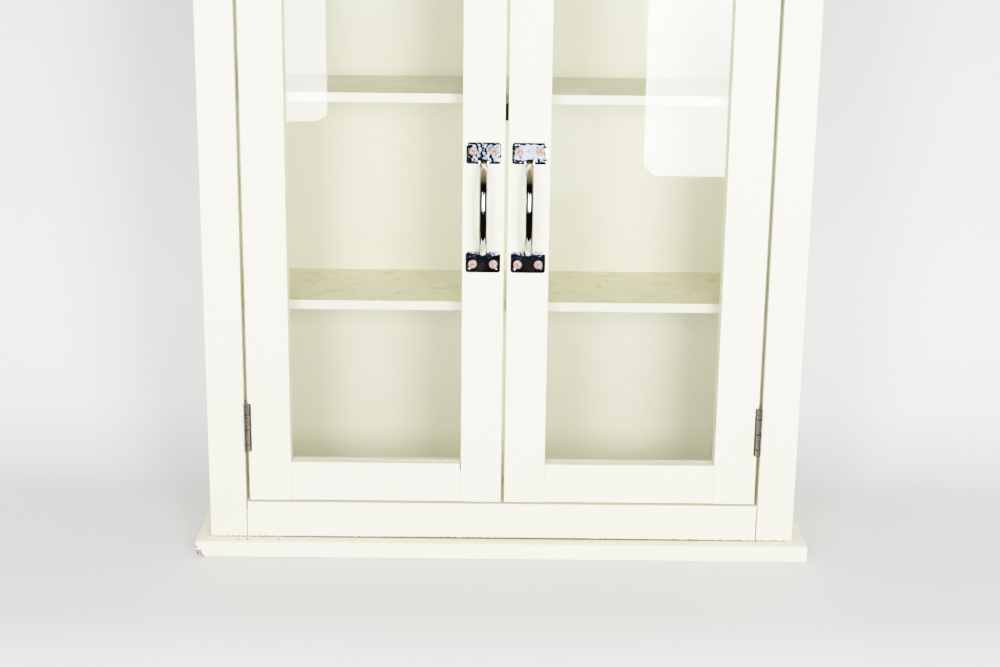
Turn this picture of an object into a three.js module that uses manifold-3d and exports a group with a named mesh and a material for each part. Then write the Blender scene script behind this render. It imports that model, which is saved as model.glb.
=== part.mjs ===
// Glazed two-door apothecary cabinet in cream-painted board.
// Millimetres, +Z up, the doors face -Y. The origin is the centre of the base board's underside.
// Inside the cabinet group, y = 0 is the front plane of the face frame and the closed doors,
// and everything beside the centre line is made for the right side and mirrored for the left.
import * as THREE from 'three';
import { mergeVertices } from 'three/addons/utils/BufferGeometryUtils.js';
import Module from 'manifold-3d';

const wasm = await Module();
wasm.setup();

// ---------------------------------------------------------------- driving dimensions

const BODY_WIDTH = 600;
const BODY_DEPTH = 180;
const TOTAL_HEIGHT = 730;
const BOARD = 17; // thickness of the base and top boards
const OVERHANG = 14; // of those boards, at the front and at both sides
const SIDE = 12; // thickness of the side panels
const FRAME = 18; // thickness of the face frame and of the doors
const FRAME_STILE = 37.5;
const FRAME_RAIL = 38.5;
const BACK = 5; // thickness of the back panel
const BACK_INSET = 2; // the back panel lies this far inside the side panels' rear edges

const SHELF = 10;
const SHELF_TOPS = { lower: 261, upper: 472 };
const SHELF_SETBACK = 35.5; // from the front plane to the shelves' front edges
const SHELF_HOUSING = 4; // depth of the grooves that hold the shelves

const HINGE_GAP = 3.5; // between a door and its frame stile
const MEETING_GAP = 3; // between the two doors
const END_GAP = 2.5; // above and below the doors
const HINGE_STILE = 43;
const MEETING_STILE = 41.5;
const DOOR_RAIL = 41;
const LIP = 10; // of the door frame, in front of the glass
const REBATE = 8; // width of the rebate behind the lip
const GLASS = 3;
const GLASS_PLAY = 1; // the glass is smaller than the rebate by this much on each side

const TENON = 12; // length of a rail's tenon
const TENON_THICK = 6;
const TENON_INSET = 8; // from a rail's edges to its tenon's edges
const PLAY = 0.25; // clearance of a piece inside another

const ARRIS = 1.25; // radius of a painted board's eased edge

const HINGE_HEIGHT = 50;
const HINGE_END = 52.5; // from a door's end to the nearer end of its hinge
const LEAF_WIDTH = 14;
const LEAF = 1.2;
const BARREL_R = 2.75;
const PIN_R = 1.25;
const PIN_TIP = 3; // how far the pin's rounded tip stands above the barrel
const BARREL_PROUD = 2; // from the front plane out to the hinge's axis
const RELIEF = 1.6; // width of the notch beside the barrel in the door's front corner
const RELIEF_DEPTH = 6;
const KNUCKLE_GAP = 0.5; // between one knuckle and the next
const KNUCKLES = [8, 16, 16, 10]; // lengths from the bottom, on the frame leaf and the door leaf by turns

const HANDLE_Z = 365; // height of the handle's centre
const HANDLE_HEIGHT = 130;
const PLATE_WIDTH = 34.5;
const PLATE_HEIGHT = 21.5;
const PLATE = 2;
const BAR_ROOT_R = 5;
const BAR_GRIP_R = 4.2;
const BAR_REACH = 27; // from the door's face to the middle of the grip
const SCREW_SPREAD = 20.5; // between the two screws of one plate
const SCREW_SPAN = 112.5; // between the upper and the lower pair
const SCREW_HEAD_R = 3.9;
const SCREW_SHANK_R = 1.5;
const SCREW_LENGTH = 15;

const CATCH_WIDTH = 48;
const CATCH_HEIGHT = 14;
const CATCH_DEPTH = 26;
const CATCH_FLANGE = 3; // thickness of the flange that is screwed to the shelf
const CATCH_SCREW_X = 18; // from the centre line to each of the catch's two screws
const MAGNET = { width: 13, height: 8, depth: 12, proud: 1, pole: 2 };
const STRIKE = { width: 16, height: 11, thick: 1 };
const STRIKE_X = 13; // from the centre line to the middle of a magnet and its strike plate
const SMALL_SCREW_R = 1.2; // shanks of the screws that hold the catch and the strike plates
const SMALL_SCREW_LENGTH = 9;

// ---------------------------------------------------------------- places worked out from them

const FRONT_Y = -(BODY_DEPTH + OVERHANG) / 2 + OVERHANG;
const FRAME_BOTTOM = BOARD;
const FRAME_TOP = TOTAL_HEIGHT - BOARD;
const FRAME_HEIGHT = FRAME_TOP - FRAME_BOTTOM;
const SIDE_INNER = BODY_WIDTH / 2 - SIDE;
const STILE_INNER = BODY_WIDTH / 2 - FRAME_STILE;
const BACK_FRONT = BODY_DEPTH - BACK_INSET - BACK;
const BACK_EDGE = BODY_WIDTH / 2 - SIDE / 2;

const DOOR_BOTTOM = FRAME_BOTTOM + FRAME_RAIL + END_GAP;
const DOOR_TOP = FRAME_TOP - FRAME_RAIL - END_GAP;
const DOOR_IN = MEETING_GAP / 2;
const DOOR_OUT = STILE_INNER - HINGE_GAP;
const OPEN_IN = DOOR_IN + MEETING_STILE;
const OPEN_OUT = DOOR_OUT - HINGE_STILE;
const OPEN_BOTTOM = DOOR_BOTTOM + DOOR_RAIL;
const OPEN_TOP = DOOR_TOP - DOOR_RAIL;

const BARREL_X = STILE_INNER - BARREL_R;
const HINGE_BOTTOMS = {
  lower: DOOR_BOTTOM + HINGE_END,
  upper: DOOR_TOP - HINGE_END - HINGE_HEIGHT,
};
const HANDLE_X = (DOOR_IN + OPEN_IN) / 2;
const SCREW_PLACES = [-1, 1].flatMap((up) => [-1, 1].map((across) =>
  [across * SCREW_SPREAD / 2, up * SCREW_SPAN / 2]));

const CATCH_FRONT = FRAME + STRIKE.thick + PLAY;
const CATCH_TOP = SHELF_TOPS.upper - SHELF;
const CATCH_FLANGE_Y = CATCH_FRONT + MAGNET.proud + MAGNET.depth + 3;
const CATCH_SCREW_Y = CATCH_FLANGE_Y + 6;
const STRIKE_Z = CATCH_TOP - CATCH_HEIGHT / 2;

// ---------------------------------------------------------------- materials

const finish = (color, roughness, metalness, more = {}) =>
  new THREE.MeshStandardMaterial({ color, roughness, metalness, ...more });
const creamPaint = finish(0xf3f0dc, 0.45, 0);
const clearGlass = finish(0xe6efe6, 0.04, 0, { transparent: true, opacity: 0.25 });
const chrome = finish(0xd8dadd, 0.08, 1);
const nickel = finish(0xa89f92, 0.4, 1);
const zincSteel = finish(0xb6b4ae, 0.35, 1);
const darkPlastic = finish(0x2e251d, 0.5, 0);
const magnetSteel = finish(0x6d6c69, 0.45, 1);

// ---------------------------------------------------------------- shaping helpers

// A closed outline through corners given as [across, up, radius].
function outline(corners) {
  const shape = new THREE.Shape();
  const points = corners.map(([x, y]) => new THREE.Vector2(x, y));
  corners.forEach(([, , radius = 0], i) => {
    const here = points[i];
    const before = points.at(i - 1);
    const after = points[(i + 1) % points.length];
    const start = here.clone().add(before.clone().sub(here).setLength(radius));
    const end = here.clone().add(after.clone().sub(here).setLength(radius));
    if (i === 0) shape.moveTo(start.x, start.y);
    else shape.lineTo(start.x, start.y);
    if (radius) shape.quadraticCurveTo(here.x, here.y, end.x, end.y);
  });
  shape.closePath();
  return shape;
}

const rectangle = (x0, y0, x1, y1, r = 0) =>
  outline([[x0, y0, r], [x1, y0, r], [x1, y1, r], [x0, y1, r]]);

// The outline drawn in (x, y), (y, z) or (x, z), as a straight bar from one end to the other.
const CURVE_STEPS = 3;
function bar(shape, from, to) {
  const options = { depth: to - from, bevelEnabled: false, curveSegments: CURVE_STEPS };
  return new THREE.ExtrudeGeometry(shape, options).translate(0, 0, from);
}
const X = new THREE.Vector3(1, 0, 0);
const Y = new THREE.Vector3(0, 1, 0);
const Z = new THREE.Vector3(0, 0, 1);
const alongZ = bar;
function alongX(shape, from, to) {
  return bar(shape, from, to).applyMatrix4(new THREE.Matrix4().makeBasis(Y, Z, X));
}
function alongY(shape, from, to) {
  const basis = new THREE.Matrix4().makeBasis(X, Z, Y.clone().negate());
  return bar(shape, -to, -from).applyMatrix4(basis);
}
function block(x0, x1, y0, y1, z0, z1) {
  return alongZ(rectangle(x0, y0, x1, y1), z0, z1);
}
function rod(radius, length, sides) {
  return new THREE.CylinderGeometry(radius, radius, length, sides);
}

// Joining and cutting closed geometries.
function toSolid(geometry) {
  const bare = geometry.index ? geometry.toNonIndexed() : geometry.clone();
  bare.deleteAttribute('normal');
  bare.deleteAttribute('uv');
  const merged = mergeVertices(bare, 1e-4);
  return new wasm.Manifold(new wasm.Mesh({
    numProp: 3,
    vertProperties: merged.attributes.position.array,
    triVerts: new Uint32Array(merged.index.array),
  }));
}
function toGeometry(solid) {
  const mesh = solid.getMesh();
  const geometry = new THREE.BufferGeometry();
  geometry.setAttribute('position', new THREE.BufferAttribute(mesh.vertProperties, mesh.numProp));
  geometry.setIndex(new THREE.BufferAttribute(mesh.triVerts, 1));
  geometry.computeVertexNormals();
  return geometry;
}
function join(...pieces) {
  return toGeometry(pieces.map(toSolid).reduce((all, piece) => all.add(piece)));
}
function cut(stock, tools) {
  return toGeometry(tools.map(toSolid).reduce((left, tool) => left.subtract(tool), toSolid(stock)));
}

function mesh(name, geometry, material) {
  const made = new THREE.Mesh(geometry, material);
  made.name = name;
  return made;
}

// The two sides of the cabinet: +1 is the right side, and -1 mirrors the same pieces to the left.
const SIDES = [['right', 1], ['left', -1]];
function mirrored(sign, ...pieces) {
  const group = new THREE.Group().add(...pieces);
  group.scale.x = sign;
  return group;
}

// ---------------------------------------------------------------- carcass

function plinthBoard(name, z) {
  const half = BODY_WIDTH / 2 + OVERHANG;
  const easing = { depth: BOARD - 2 * ARRIS, bevelThickness: ARRIS, bevelSize: ARRIS, bevelSegments: 3 };
  const plan = rectangle(ARRIS - half, ARRIS - OVERHANG, half - ARRIS, BODY_DEPTH - ARRIS);
  const board = new THREE.ExtrudeGeometry(plan, easing).translate(0, 0, ARRIS);
  const made = mesh(name, board, creamPaint);
  made.position.z = z;
  return made;
}

function sidePanel(side) {
  const outer = BODY_WIDTH / 2;
  const plan = outline([
    [SIDE_INNER, FRAME], [outer, FRAME], [outer, BODY_DEPTH, ARRIS],
    [BACK_EDGE, BODY_DEPTH], [BACK_EDGE, BACK_FRONT], [SIDE_INNER, BACK_FRONT],
  ]);
  const housings = Object.values(SHELF_TOPS).map((top) => block(
    SIDE_INNER - 1, SIDE_INNER + SHELF_HOUSING,
    SHELF_SETBACK - PLAY, BODY_DEPTH + 1,
    top - SHELF - PLAY, top + PLAY,
  ));
  return mesh(`${side}_side_panel`, cut(alongZ(plan, FRAME_BOTTOM, FRAME_TOP), housings), creamPaint);
}

function backPanel() {
  return mesh('back_panel', block(
    -BACK_EDGE, BACK_EDGE, BACK_FRONT, BACK_FRONT + BACK, FRAME_BOTTOM, FRAME_TOP,
  ), creamPaint);
}

function shelf(level, top) {
  const reach = SIDE_INNER + SHELF_HOUSING - PLAY;
  const section = outline([
    [SHELF_SETBACK, top - SHELF, ARRIS], [BACK_FRONT - PLAY, top - SHELF],
    [BACK_FRONT - PLAY, top], [SHELF_SETBACK, top, ARRIS],
  ]);
  const holes = level === 'upper' ? catchScrewHoles() : [];
  return mesh(`${level}_shelf`, cut(alongX(section, -reach, reach), holes), creamPaint);
}

// The tenon that a rail with edges at z0 and z1 has at one or both ends, and its mortise.
function tenon(x0, x1, z0, z1, play = 0) {
  const y = (FRAME - TENON_THICK) / 2;
  return block(
    x0 - play, x1 + play, y - play, y + TENON_THICK + play,
    z0 + TENON_INSET - play, z1 - TENON_INSET + play,
  );
}

const FRAME_RAILS = {
  bottom: [FRAME_BOTTOM, FRAME_BOTTOM + FRAME_RAIL],
  top: [FRAME_TOP - FRAME_RAIL, FRAME_TOP],
};

function frameRail(end, [z0, z1]) {
  const section = outline([[0, z0, ARRIS / 2], [FRAME, z0], [FRAME, z1], [0, z1, ARRIS / 2]]);
  const reach = STILE_INNER + TENON;
  const rail = join(alongX(section, -STILE_INNER, STILE_INNER), tenon(-reach, reach, z0, z1));
  return mesh(`frame_${end}_rail`, rail, creamPaint);
}

function frameStile(side) {
  const plan = outline([
    [STILE_INNER, 0, ARRIS], [BODY_WIDTH / 2, 0, ARRIS], [BODY_WIDTH / 2, FRAME], [STILE_INNER, FRAME],
  ]);
  const mortises = Object.values(FRAME_RAILS).map(([z0, z1]) =>
    tenon(STILE_INNER - 1, STILE_INNER + TENON, z0, z1, PLAY));
  return mesh(`frame_${side}_stile`, cut(alongZ(plan, FRAME_BOTTOM, FRAME_TOP), mortises), creamPaint);
}

// ---------------------------------------------------------------- doors

const DOOR_RAILS = {
  bottom: { z0: DOOR_BOTTOM, z1: OPEN_BOTTOM, inner: 1 },
  top: { z0: OPEN_TOP, z1: DOOR_TOP, inner: 0 },
};

// A door rail: the lip butts against the stiles' lips, and the thicker back reaches into their rebates.
function doorRail(side, end, { z0, z1, inner }) {
  const lip = alongX(outline([[0, z0, ARRIS], [LIP, z0], [LIP, z1], [0, z1, ARRIS]]), OPEN_IN, OPEN_OUT);
  const backing = block(
    OPEN_IN - REBATE, OPEN_OUT + REBATE, LIP, FRAME,
    inner ? z0 : z0 + REBATE, inner ? z1 - REBATE : z1,
  );
  const tongue = tenon(OPEN_IN - REBATE - TENON, OPEN_OUT + REBATE + TENON, z0, z1);
  return mesh(`${side}_door_${end}_rail`, join(lip, backing, tongue), creamPaint);
}

function doorMortises(from, to) {
  return Object.values(DOOR_RAILS).map(({ z0, z1 }) => tenon(from, to, z0, z1, PLAY));
}

// The housing of one hinge leaf in the door's edge, with a wider notch in front for the barrel.
function hingeHousing(bottom) {
  const top = bottom + HINGE_HEIGHT + PLAY;
  const seat = BARREL_X - BARREL_R;
  return [
    block(seat - PLAY, DOOR_OUT + 1, -1, LEAF_WIDTH + PLAY, bottom - PLAY, top),
    block(seat - RELIEF, DOOR_OUT + 1, -1, RELIEF_DEPTH, bottom - PLAY, top),
  ];
}

function hingeStile(side) {
  const plan = outline([
    [OPEN_OUT, 0, ARRIS], [DOOR_OUT, 0, ARRIS], [DOOR_OUT, FRAME, ARRIS],
    [OPEN_OUT + REBATE, FRAME], [OPEN_OUT + REBATE, LIP], [OPEN_OUT, LIP],
  ]);
  const tools = [
    ...doorMortises(OPEN_OUT - 1, OPEN_OUT + REBATE + TENON),
    ...Object.values(HINGE_BOTTOMS).flatMap(hingeHousing),
  ];
  return mesh(`${side}_door_hinge_stile`, cut(alongZ(plan, DOOR_BOTTOM, DOOR_TOP), tools), creamPaint);
}

function meetingStile(side) {
  const plan = outline([
    [DOOR_IN, 0, ARRIS], [OPEN_IN, 0, ARRIS], [OPEN_IN, LIP],
    [OPEN_IN - REBATE, LIP], [OPEN_IN - REBATE, FRAME], [DOOR_IN, FRAME, ARRIS],
  ]);
  const pilots = SCREW_PLACES.map(([x, z]) => rod(SCREW_SHANK_R + PLAY, 2 * SCREW_LENGTH, 12)
    .translate(HANDLE_X + x, 0, HANDLE_Z + z));
  const strikePilot = rod(SMALL_SCREW_R + PLAY, 10, 12).translate(STRIKE_X, FRAME, STRIKE_Z);
  const tools = [
    ...doorMortises(OPEN_IN - REBATE - TENON, OPEN_IN + 1),
    ...pilots,
    strikePilot,
  ];
  return mesh(`${side}_door_meeting_stile`, cut(alongZ(plan, DOOR_BOTTOM, DOOR_TOP), tools), creamPaint);
}

function doorGlass(side) {
  const inset = REBATE - GLASS_PLAY;
  return mesh(`${side}_door_glass`, block(
    OPEN_IN - inset, OPEN_OUT + inset, LIP + PLAY, LIP + PLAY + GLASS,
    OPEN_BOTTOM - inset, OPEN_TOP + inset,
  ), clearGlass);
}

// Four mitred beads hold the glass in the rebate from behind.
function glazingBeads(side) {
  const x0 = OPEN_IN - REBATE + PLAY;
  const x1 = OPEN_OUT + REBATE - PLAY;
  const z0 = OPEN_BOTTOM - REBATE + PLAY;
  const z1 = OPEN_TOP + REBATE - PLAY;
  const w = REBATE - PLAY;
  const strips = {
    bottom: [[x0 + PLAY, z0], [x1 - PLAY, z0], [x1 - w - PLAY, z0 + w], [x0 + w + PLAY, z0 + w]],
    top: [[x0 + PLAY, z1], [x0 + w + PLAY, z1 - w], [x1 - w - PLAY, z1 - w], [x1 - PLAY, z1]],
    inner: [[x0, z0 + PLAY], [x0 + w, z0 + w + PLAY], [x0 + w, z1 - w - PLAY], [x0, z1 - PLAY]],
    outer: [[x1, z0 + PLAY], [x1, z1 - PLAY], [x1 - w, z1 - w - PLAY], [x1 - w, z0 + w + PLAY]],
  };
  return Object.entries(strips).map(([place, corners]) => mesh(
    `${side}_door_${place}_bead`,
    alongY(outline(corners), LIP + GLASS + 2 * PLAY, FRAME),
    creamPaint,
  ));
}

// ---------------------------------------------------------------- handles

// The handle's bowed grip: a rod bent along an arch, slimmer in the middle than at its roots.
function grip() {
  const half = HANDLE_HEIGHT / 2 - PLATE_HEIGHT;
  const steps = 28;
  const rounds = 18;
  const BOW = 2.3; // the exponent that squares the arch's shoulders
  const squared = (value) => Math.sign(value) * Math.abs(value) ** (2 / BOW);
  const arch = (t) => new THREE.Vector3(
    0,
    -BAR_REACH * squared(Math.sin(Math.PI * t)),
    -half * squared(Math.cos(Math.PI * t)),
  );
  const stock = new THREE.CylinderGeometry(1, 1, 1, rounds, steps).toNonIndexed();
  const place = stock.getAttribute('position');
  for (let i = 0; i < place.count; i++) {
    const t = THREE.MathUtils.clamp(place.getY(i) + 0.5, 0, 1);
    const step = 1e-3;
    const ahead = arch(Math.min(t + step, 1)).sub(arch(Math.max(t - step, 0))).normalize();
    const outward = new THREE.Vector3().crossVectors(ahead, X);
    const middle = Math.sin(Math.PI * t);
    const radius = THREE.MathUtils.lerp(BAR_ROOT_R, BAR_GRIP_R, Math.sqrt(middle));
    const at = arch(t)
      .addScaledVector(X, radius * place.getX(i))
      .addScaledVector(outward, -radius * place.getZ(i));
    place.setXYZ(i, at.x, at.y, at.z);
  }
  return stock.translate(0, PLATE / 4, 0);
}

function handlePlate(z) {
  const easing = 0.5;
  const [w, h] = [PLATE_WIDTH / 2 - easing, PLATE_HEIGHT / 2 - easing];
  const options = {
    depth: PLATE - 2 * easing, bevelThickness: easing, bevelSize: easing, bevelSegments: 2,
    curveSegments: CURVE_STEPS,
  };
  const basis = new THREE.Matrix4().makeBasis(X, Z, Y.clone().negate());
  return new THREE.ExtrudeGeometry(rectangle(-w, -h, w, h, 3), options)
    .applyMatrix4(basis)
    .translate(0, -easing, z);
}

function countersink([x, z]) {
  const cone = new THREE.CylinderGeometry(SCREW_SHANK_R, SCREW_HEAD_R, PLATE, 18);
  return [
    cone.translate(x, -PLATE / 2 - PLAY, z),
    rod(SCREW_SHANK_R + PLAY, 4 * PLATE, 12).translate(x, 0, z),
  ];
}

function handle(side) {
  const plateZ = (HANDLE_HEIGHT - PLATE_HEIGHT) / 2;
  const body = join(handlePlate(-plateZ), handlePlate(plateZ), grip());
  const behind = block(-PLATE_WIDTH, PLATE_WIDTH, 0, 2 * PLATE, -HANDLE_HEIGHT, HANDLE_HEIGHT);
  const made = mesh(`${side}_handle`, cut(body, [behind, ...SCREW_PLACES.flatMap(countersink)]), chrome);
  made.position.set(HANDLE_X, 0, HANDLE_Z);
  return made;
}

// A raised countersunk screw with a cross recess, its rim at the origin and its shank along +y.
function screwShape({ headR, shankR, length, coneDepth }) {
  const dome = 1.1;
  const profile = [
    [0, dome], [headR * 0.45, dome * 0.86], [headR * 0.8, dome * 0.45], [headR, 0],
    [shankR, -coneDepth], [shankR, 2 * shankR - length], [0, -length],
  ].map(([r, up]) => new THREE.Vector2(r, up)).reverse();
  const [across, deep, thick] = [headR * 1.1, dome * 1.6, 0.6];
  const recess = [
    new THREE.BoxGeometry(across, deep, thick),
    new THREE.BoxGeometry(thick, deep, across),
  ].map((slot) => slot.translate(0, dome, 0));
  return cut(new THREE.LatheGeometry(profile, 16), recess).rotateX(Math.PI);
}

function handleScrews(side) {
  const names = ['lower_inner', 'lower_outer', 'upper_inner', 'upper_outer'];
  const size = {
    headR: SCREW_HEAD_R - PLAY, shankR: SCREW_SHANK_R, length: SCREW_LENGTH, coneDepth: PLATE - PLAY,
  };
  return SCREW_PLACES.map(([x, z], i) => {
    const made = mesh(`${side}_handle_screw_${names[i]}`, screwShape(size), nickel);
    made.position.set(HANDLE_X + x, -PLATE - PLAY, HANDLE_Z + z);
    return made;
  });
}

// ---------------------------------------------------------------- magnetic catch

// A steel plate on the door's back that the catch's magnet pulls on, with its screw in one piece.
function strikePlate(side) {
  const { width, height, thick } = STRIKE;
  const plate = alongY(rectangle(
    STRIKE_X - width / 2, STRIKE_Z - height / 2, STRIKE_X + width / 2, STRIKE_Z + height / 2, 1.5,
  ), FRAME, FRAME + thick);
  const shank = rod(SMALL_SCREW_R, 5, 12).translate(STRIKE_X, FRAME - 2, STRIKE_Z);
  return mesh(`${side}_strike_plate`, join(plate, shank), zincSteel);
}

function catchHousing() {
  const half = CATCH_WIDTH / 2;
  const front = CATCH_FRONT + MAGNET.proud;
  const back = front + CATCH_DEPTH;
  const bottom = CATCH_TOP - CATCH_HEIGHT;
  const section = outline([
    [front, bottom, 1], [CATCH_FLANGE_Y, bottom, 1], [CATCH_FLANGE_Y, CATCH_TOP - CATCH_FLANGE],
    [back, CATCH_TOP - CATCH_FLANGE, 1], [back, CATCH_TOP], [front, CATCH_TOP, 1],
  ]);
  const bays = [-1, 1].map((side) => block(
    side * STRIKE_X - MAGNET.width / 2 - PLAY, side * STRIKE_X + MAGNET.width / 2 + PLAY,
    front - 1, front + MAGNET.depth + PLAY,
    STRIKE_Z - MAGNET.height / 2 - PLAY, STRIKE_Z + MAGNET.height / 2 + PLAY,
  ));
  const housing = cut(alongX(section, -half, half), [...bays, ...catchScrewHoles()]);
  return mesh('catch_housing', housing, darkPlastic);
}

// The holes for the catch's screws, through its flange and up into the shelf.
function catchScrewHoles() {
  return [-1, 1].map((side) => rod(SMALL_SCREW_R + PLAY, 2 * SMALL_SCREW_LENGTH, 12)
    .rotateX(Math.PI / 2)
    .translate(side * CATCH_SCREW_X, CATCH_SCREW_Y, CATCH_TOP - CATCH_FLANGE));
}

function catchScrew(side) {
  const size = {
    headR: 2 * SMALL_SCREW_R, shankR: SMALL_SCREW_R, length: SMALL_SCREW_LENGTH, coneDepth: PLAY,
  };
  const made = mesh(`catch_${side}_screw`, screwShape(size).rotateX(Math.PI / 2), zincSteel);
  made.position.set(CATCH_SCREW_X, CATCH_SCREW_Y, CATCH_TOP - CATCH_FLANGE - 2 * PLAY);
  return made;
}

// A magnet between its two steel pole plates, which stand a little proud of the housing.
function catchMagnet(side) {
  const { width, height, depth, proud, pole } = MAGNET;
  const back = CATCH_FRONT + proud + depth;
  const [x0, x1] = [STRIKE_X - width / 2, STRIKE_X + width / 2];
  const [z0, z1] = [STRIKE_Z - height / 2, STRIKE_Z + height / 2];
  const magnet = block(x0, x1, CATCH_FRONT + proud, back, z0 + pole, z1 - pole);
  const lowerPole = block(x0, x1, CATCH_FRONT, back, z0, z0 + pole);
  const upperPole = block(x0, x1, CATCH_FRONT, back, z1 - pole, z1);
  return mesh(`catch_${side}_magnet`, join(magnet, lowerPole, upperPole), magnetSteel);
}

// ---------------------------------------------------------------- hinges

// One leaf: a flat plate from its outer face towards the axis, with every second knuckle.
function hingeLeaf(name, outerX, first, bottom, material) {
  const inward = outerX > BARREL_X ? -1 : 1;
  const [x0, x1] = [outerX, outerX + inward * LEAF].sort((a, b) => a - b);
  const plate = block(x0, x1, 0.5, LEAF_WIDTH, bottom, bottom + HINGE_HEIGHT);
  let z = bottom;
  const spans = KNUCKLES.map((length) => {
    z += length;
    return [z - length, z];
  });
  const knuckles = spans.filter((_, i) => i % 2 === first).flatMap(([z0, z1]) => [
    rod(BARREL_R, z1 - z0 - KNUCKLE_GAP, 20).rotateX(Math.PI / 2)
      .translate(BARREL_X, -BARREL_PROUD, (z0 + z1) / 2),
    block(x0, x1, -BARREL_PROUD, 1, z0 + KNUCKLE_GAP / 2, z1 - KNUCKLE_GAP / 2),
  ]);
  const room = spans.filter((_, i) => i % 2 !== first).map(([z0, z1]) => block(
    BARREL_X - BARREL_R - 1, BARREL_X + BARREL_R + 1,
    -BARREL_PROUD - BARREL_R - 1, BARREL_R - BARREL_PROUD + PLAY,
    z0 === bottom ? z0 - 1 : z0 - KNUCKLE_GAP / 2,
    z1 === bottom + HINGE_HEIGHT ? z1 + 1 : z1 + KNUCKLE_GAP / 2,
  ));
  const bore = rod(PIN_R + 0.1, 2 * HINGE_HEIGHT, 16).rotateX(Math.PI / 2)
    .translate(BARREL_X, -BARREL_PROUD, bottom + HINGE_HEIGHT / 2);
  return mesh(name, cut(join(plate, ...knuckles), [...room, bore]), material);
}

function hingePin(name, bottom) {
  const tipR = 1.7;
  const profile = [
    [0, 0], [PIN_R, 0], [PIN_R, HINGE_HEIGHT + PLAY], [tipR, HINGE_HEIGHT + PLAY],
    [tipR, HINGE_HEIGHT + PIN_TIP - 1], [tipR * 0.6, HINGE_HEIGHT + PIN_TIP - 0.2],
    [0, HINGE_HEIGHT + PIN_TIP],
  ].map(([r, up]) => new THREE.Vector2(r, up));
  const made = mesh(name, new THREE.LatheGeometry(profile, 16).rotateX(Math.PI / 2), nickel);
  made.position.set(BARREL_X, -BARREL_PROUD, bottom);
  return made;
}

function hinge(side, level, bottom) {
  const name = `${side}_${level}_hinge`;
  return [
    hingeLeaf(`${name}_frame_leaf`, STILE_INNER, 1, bottom, nickel),
    hingeLeaf(`${name}_door_leaf`, BARREL_X - BARREL_R, 0, bottom, nickel),
    hingePin(`${name}_pin`, bottom),
  ];
}

// ---------------------------------------------------------------- assembly

const cabinet = new THREE.Group();
cabinet.position.y = FRONT_Y;
cabinet.add(
  plinthBoard('base_board', 0),
  plinthBoard('top_board', FRAME_TOP),
  backPanel(),
  ...Object.entries(SHELF_TOPS).map(([level, top]) => shelf(level, top)),
  ...Object.entries(FRAME_RAILS).map(([end, edges]) => frameRail(end, edges)),
  catchHousing(),
);

for (const [side, sign] of SIDES) {
  const hinges = Object.entries(HINGE_BOTTOMS).flatMap(([level, bottom]) => hinge(side, level, bottom));
  cabinet.add(
    mirrored(sign, sidePanel(side), frameStile(side), catchMagnet(side), catchScrew(side), ...hinges),
    mirrored(
      sign,
      hingeStile(side),
      meetingStile(side),
      ...Object.entries(DOOR_RAILS).map(([end, rail]) => doorRail(side, end, rail)),
      doorGlass(side),
      ...glazingBeads(side),
      handle(side),
      ...handleScrews(side),
      strikePlate(side),
    ),
  );
}

export default cabinet;
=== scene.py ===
import math

import bmesh
import bpy
from mathutils import Matrix, Vector, noise


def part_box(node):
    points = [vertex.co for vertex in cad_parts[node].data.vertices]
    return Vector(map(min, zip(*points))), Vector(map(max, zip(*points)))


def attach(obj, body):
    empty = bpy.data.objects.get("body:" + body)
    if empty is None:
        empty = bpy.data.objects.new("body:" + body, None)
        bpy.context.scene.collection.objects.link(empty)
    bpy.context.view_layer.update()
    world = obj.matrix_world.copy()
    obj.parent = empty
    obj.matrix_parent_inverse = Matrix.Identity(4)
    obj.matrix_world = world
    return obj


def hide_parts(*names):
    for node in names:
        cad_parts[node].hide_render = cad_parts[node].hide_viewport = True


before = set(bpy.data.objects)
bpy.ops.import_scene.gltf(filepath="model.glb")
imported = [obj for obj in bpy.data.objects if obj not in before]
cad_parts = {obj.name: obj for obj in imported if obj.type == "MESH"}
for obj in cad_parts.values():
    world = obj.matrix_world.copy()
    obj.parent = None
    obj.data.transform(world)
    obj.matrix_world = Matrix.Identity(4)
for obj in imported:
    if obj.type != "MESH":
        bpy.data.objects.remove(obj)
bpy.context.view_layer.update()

# All sizes are metres. X runs to the cabinet's right, Y to its back and Z up.

# ---------------------------------------------------------------- driving dimensions
FRONT_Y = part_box("frame_left_stile")[0].y  # the plane of the face frame and of the closed doors
FILM_SPEED = 4.0  # how fast the film curve rises from black
FILM_WHITE = 1.6  # scene brightness that the film curve ends at

BOARD_EASING = 0.0005
FINE_EASING = 0.00015  # on glass, metal and plastic
JOINED = 1e-5  # corners of a CAD mesh nearer than this are one

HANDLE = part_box("right_handle")
HANDLE_X = (HANDLE[0].x + HANDLE[1].x) / 2
HANDLE_Z = (HANDLE[0].z + HANDLE[1].z) / 2
HANDLE_HEIGHT = HANDLE[1].z - HANDLE[0].z
PLATE_WIDTH = HANDLE[1].x - HANDLE[0].x
PLATE_HEIGHT = 0.0215
PLATE = 0.002
PLATE_CORNER = 0.003
BAR_REACH = 0.027
BAR_ROOT = 0.0050
BAR_GRIP = 0.0042
BAR_FLARE = 0.0005  # how much the bar widens where it is brazed to its plates
BOW_POWER = 2.3  # squares the bow's shoulders
SCREW_SPREAD = 0.0205
SCREW_SPAN = 0.1125
HANDLE_SCREW = {"head": 0.0040, "dome": 0.0011, "shank": 0.0015, "length": 0.0150}
CATCH_SCREW = {"head": 0.0024, "dome": 0.0008, "shank": 0.0012, "length": 0.0090}
LEAF_SCREW = {"head": 0.0021, "dome": 0.00035, "shank": 0.0011, "length": 0.0100}
LEAF = 0.0012
LEAF_SCREW_HEIGHTS = [0.008, 0.025, 0.042]  # above a hinge's lower end
LEAF_SCREW_DEPTHS = [0.0100, 0.0092, 0.0100]  # behind the front plane
KNUCKLE_JOINTS = [0.008, 0.024, 0.040]  # above a hinge's lower end

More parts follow.
